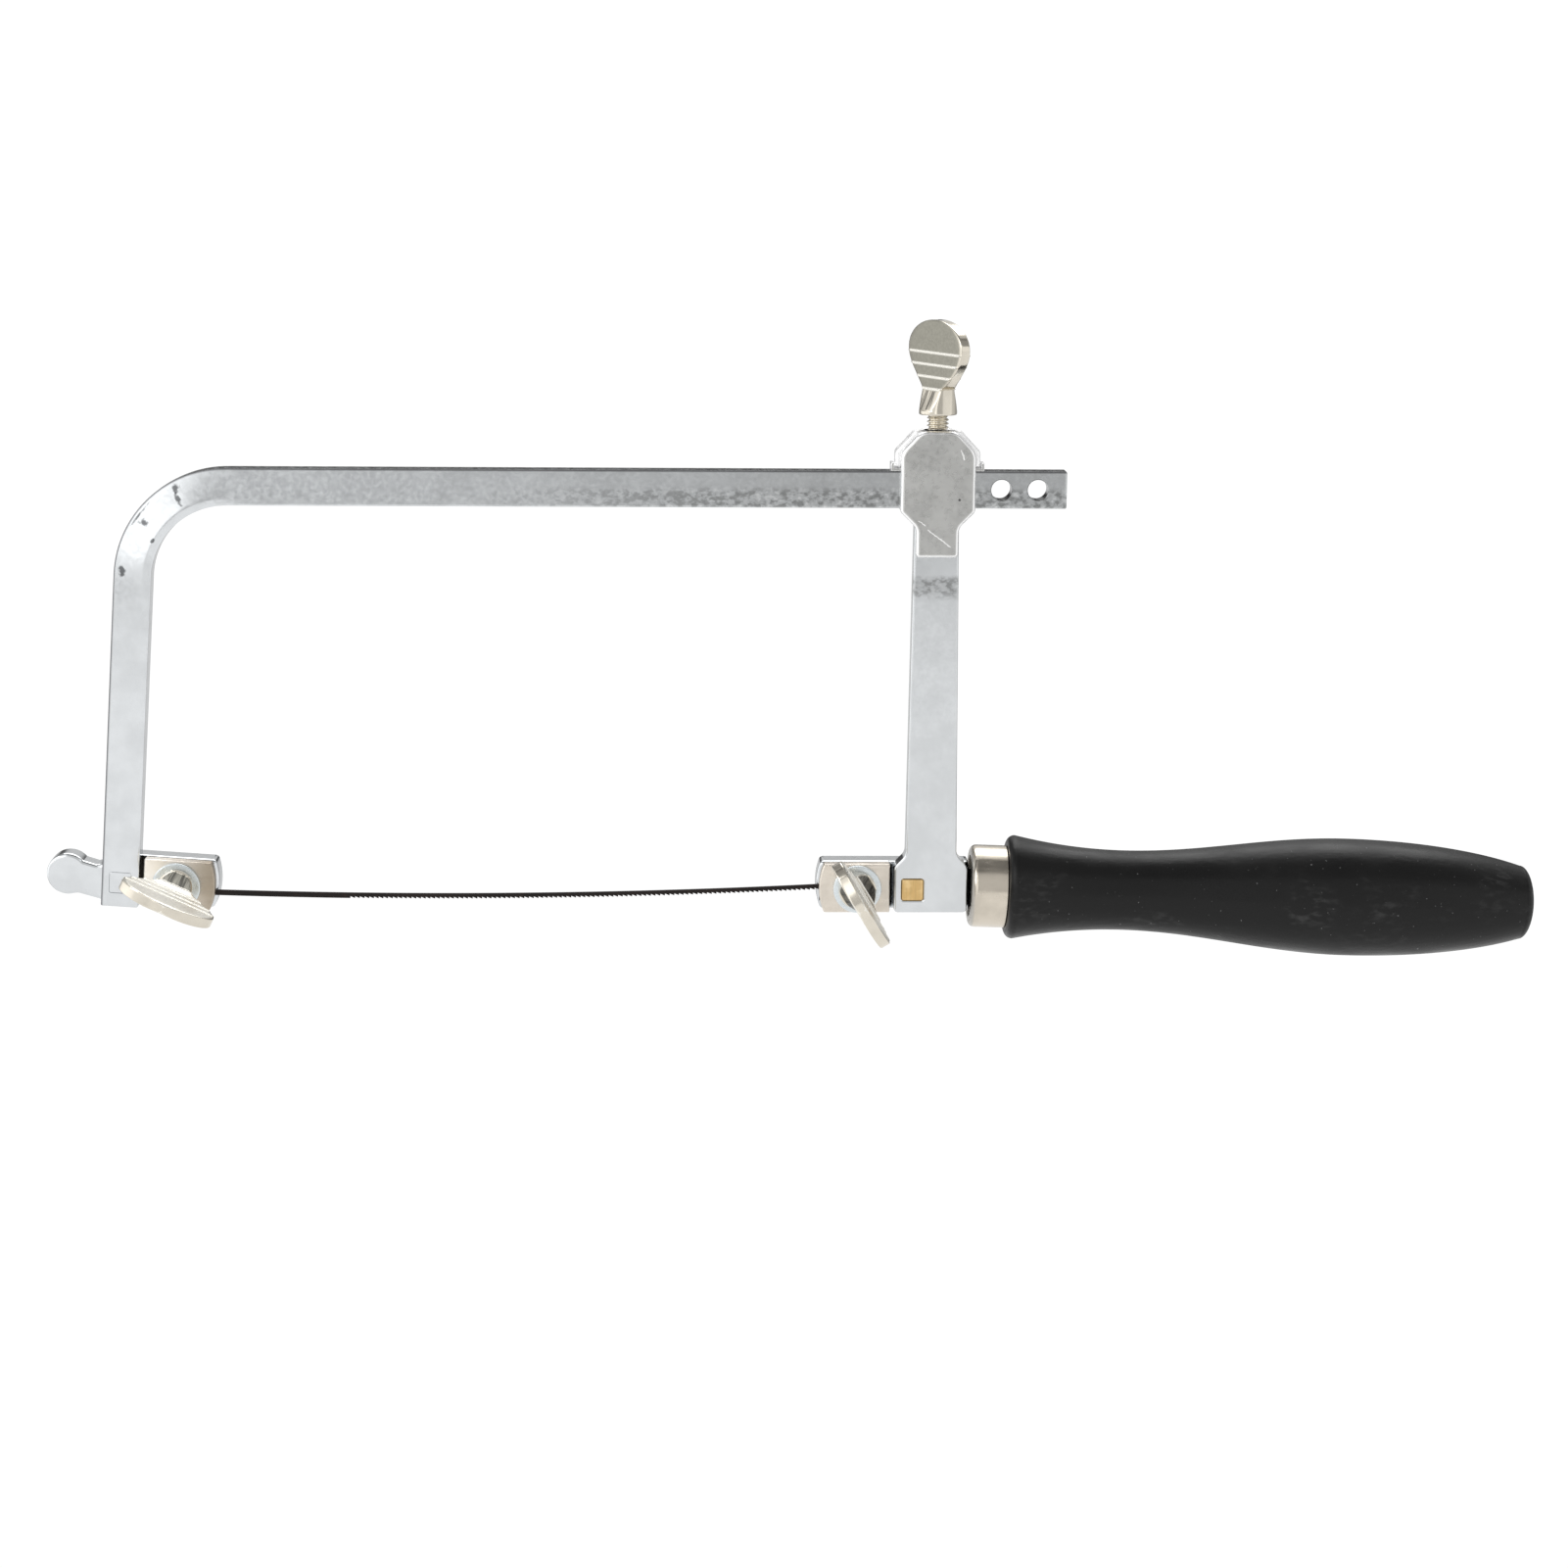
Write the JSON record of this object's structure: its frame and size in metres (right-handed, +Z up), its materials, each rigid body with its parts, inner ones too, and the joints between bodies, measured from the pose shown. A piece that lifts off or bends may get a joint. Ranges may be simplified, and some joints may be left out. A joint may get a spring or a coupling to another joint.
{
  "type": "adjustable fret saw",
  "caption": "Adjustable fret saw frame: bent steel bow, sliding rear arm locked by a thumb screw, screw-clamped jaws with a fine toothed blade, and a turned wooden handle.",
  "frame": {"origin": "centre of the outer hang hole, in the middle of the top bar's thickness", "axes": "+X along the top bar towards the handle, +Z up, away from the blade, and the clamp screws face -Y"},
  "size_m": [0.2806, 0.0346, 0.1201],
  "materials": {
    "bow_steel": "bright plated steel",
    "slide_steel": "satin plated steel",
    "clamp_nickel": "satin nickel",
    "washer_zinc": "pale zinc",
    "screw_nickel": "polished nickel",
    "ferrule_nickel": "polished nickel",
    "peg_brass": "filed flush",
    "handle_lacquer": "black lacquer",
    "blade_steel": "dark tempered"
  },
  "bodies": {
    "bow": {"bow_bar": "bow_steel", "front_jaw": "bow_steel", "front_jaw_peg": "bow_steel", "blade": "blade_steel"},
    "front_clamp": {"front_clamp_plate": "clamp_nickel", "front_washer": "washer_zinc"},
    "front_screw": {"front_clamp_screw": "screw_nickel"},
    "slide": {"rear_arm": "bow_steel", "slide_front_plate": "slide_steel", "slide_back_plate": "slide_steel", "slide_block": "slide_steel", "rear_jaw": "bow_steel", "rear_jaw_peg": "peg_brass", "ferrule": "ferrule_nickel", "handle": "handle_lacquer"},
    "rear_clamp": {"rear_clamp_plate": "clamp_nickel", "rear_washer": "washer_zinc"},
    "rear_screw": {"rear_clamp_screw": "screw_nickel"},
    "shoe": {"slide_shoe": "slide_steel"},
    "lock_screw": {"slide_screw": "screw_nickel"}
  },
  "joints": [
    {"name": "frame_slide", "type": "slide", "parent": "bow", "child": "slide", "axis": [1, 0, 0], "range_m": [0, 0.0155]},
    {"name": "front_clamp_open", "type": "slide", "parent": "bow", "child": "front_clamp", "axis": [0, -1, 0], "range_m": [0, 0.0014]},
    {"name": "front_screw_turn", "type": "hinge", "parent": "front_clamp", "child": "front_screw", "pos_m": [-0.15917, -0.0018, -0.07475], "axis": [0, -1, 0], "range_deg": [0, 720]},
    {"name": "rear_clamp_open", "type": "slide", "parent": "slide", "child": "rear_clamp", "axis": [0, -1, 0], "range_m": [0, 0.0014]},
    {"name": "rear_screw_turn", "type": "hinge", "parent": "rear_clamp", "child": "rear_screw", "pos_m": [-0.03217, -0.0018, -0.0752], "axis": [0, -1, 0], "range_deg": [0, 720]},
    {"name": "shoe_lift", "type": "slide", "parent": "slide", "child": "shoe", "axis": [0, 0, 1], "range_m": [0, 0.00035]},
    {"name": "lock_screw_turn", "type": "hinge", "parent": "shoe", "child": "lock_screw", "pos_m": [-0.01847, 0, 0.0136], "axis": [0, 0, 1], "range_deg": [0, 180]}
  ],
  "couplings": [
    {"joint": "front_screw_turn", "follows": "front_clamp_open", "rad_per_m": 8976},
    {"joint": "rear_screw_turn", "follows": "rear_clamp_open", "rad_per_m": 8976},
    {"joint": "lock_screw_turn", "follows": "shoe_lift", "rad_per_m": 8976}
  ]
}
